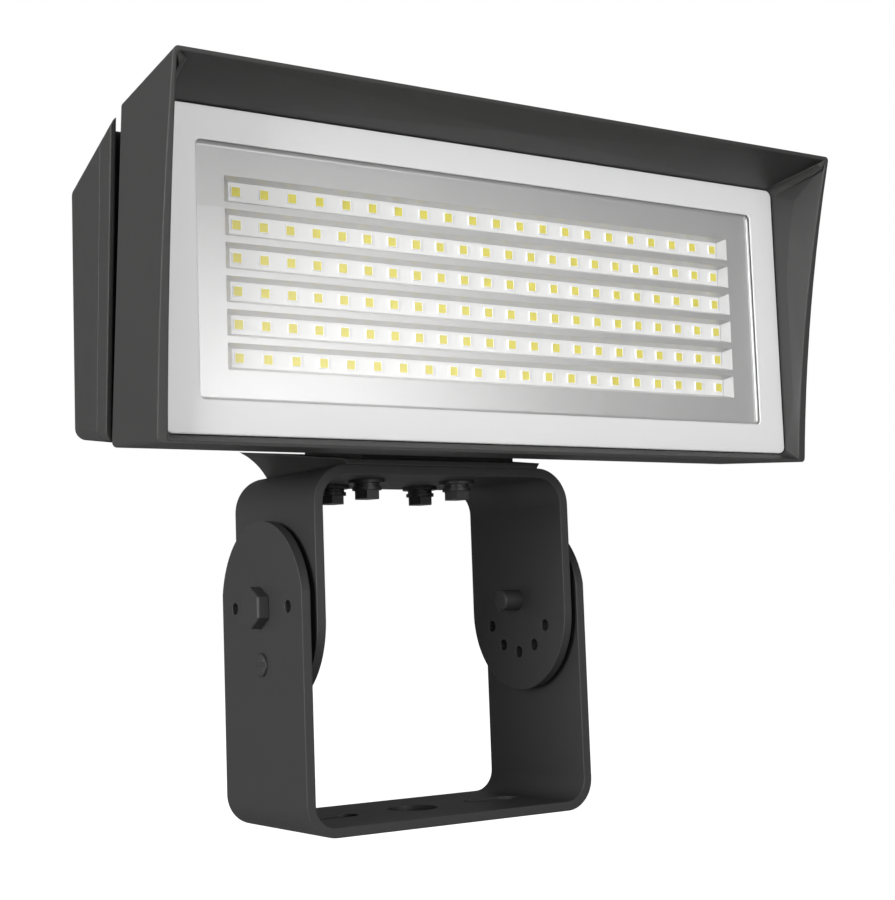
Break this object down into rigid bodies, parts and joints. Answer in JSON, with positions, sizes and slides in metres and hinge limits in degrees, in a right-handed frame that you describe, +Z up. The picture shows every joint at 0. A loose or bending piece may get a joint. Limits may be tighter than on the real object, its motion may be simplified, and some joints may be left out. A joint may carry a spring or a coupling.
{
  "type": "led flood light",
  "caption": "Rectangular flood light head with a hood, lens frame and rows of light sources, on a tilting bracket held in a U-shaped mounting yoke.",
  "frame": {"origin": "centre of the yoke's base hole at the underside of the base, the face that is bolted down", "axes": "+Z up, X along the width of the head and the tilt axis, the light faces -Y"},
  "size_m": [0.4002, 0.1931, 0.3583],
  "materials": {
    "bronze_paint": "satin dark powder coat on cast aluminium and bent steel",
    "dark_steel": "blackened steel fasteners",
    "frame_paint": "satin light grey paint",
    "clear_glass": "clear toughened glass",
    "pan_plastic": "satin light grey reflector",
    "board_white": "white solder mask",
    "led_package": "yellow phosphor in a white package",
    "seal_rubber": "black silicone",
    "plated_steel": "zinc plated steel",
    "alu_bare": "bare aluminium",
    "black_plastic": "black plastic",
    "white_case": "white painted case"
  },
  "bodies": {
    "yoke": {"mounting_yoke": "bronze_paint"},
    "head": {"bracket_bolts": "dark_steel", "bracket_flat_washers": "dark_steel", "bracket_lock_washers": "dark_steel", "bracket_small_washers": "dark_steel", "cable_gland": "black_plastic", "conduit_nut": "alu_bare", "cover_screws": "plated_steel", "cover_seal": "seal_rubber", "driver_cover": "bronze_paint", "driver_housing": "bronze_paint", "driver_screws": "plated_steel", "front_housing": "bronze_paint", "gland_nut": "black_plastic", "gland_plug": "seal_rubber", "lead_conduit": "alu_bare", "led_board_1": "board_white", "led_board_2": "board_white", "led_board_3": "board_white", "led_board_4": "board_white", "led_board_5": "board_white", "led_board_6": "board_white", "led_driver": "white_case", "led_row_1": "led_package", "led_row_2": "led_package", "led_row_3": "led_package", "led_row_4": "led_package", "led_row_5": "led_package", "led_row_6": "led_package", "lens": "clear_glass", "lens_frame": "frame_paint", "lens_gasket": "seal_rubber", "pedestal": "bronze_paint", "pedestal_screws": "plated_steel", "pivot_bolts": "dark_steel", "pivot_spacers": "dark_steel", "reflector_pan": "pan_plastic", "standoff_screws": "plated_steel", "standoffs": "alu_bare", "surge_protector": "black_plastic", "terminal_block": "black_plastic", "tilt_bracket": "bronze_paint"},
    "lock_screw": {"lock_screw": "dark_steel"}
  },
  "joints": [
    {"name": "tilt", "type": "hinge", "parent": "yoke", "child": "head", "pos_m": [0, 0, 0.1167], "axis": [1, 0, 0], "range_deg": [-60, 60]},
    {"name": "lock_screw_travel", "type": "slide", "parent": "yoke", "child": "lock_screw", "axis": [-1, 0, 0], "range_m": [0, 0.006]}
  ]
}
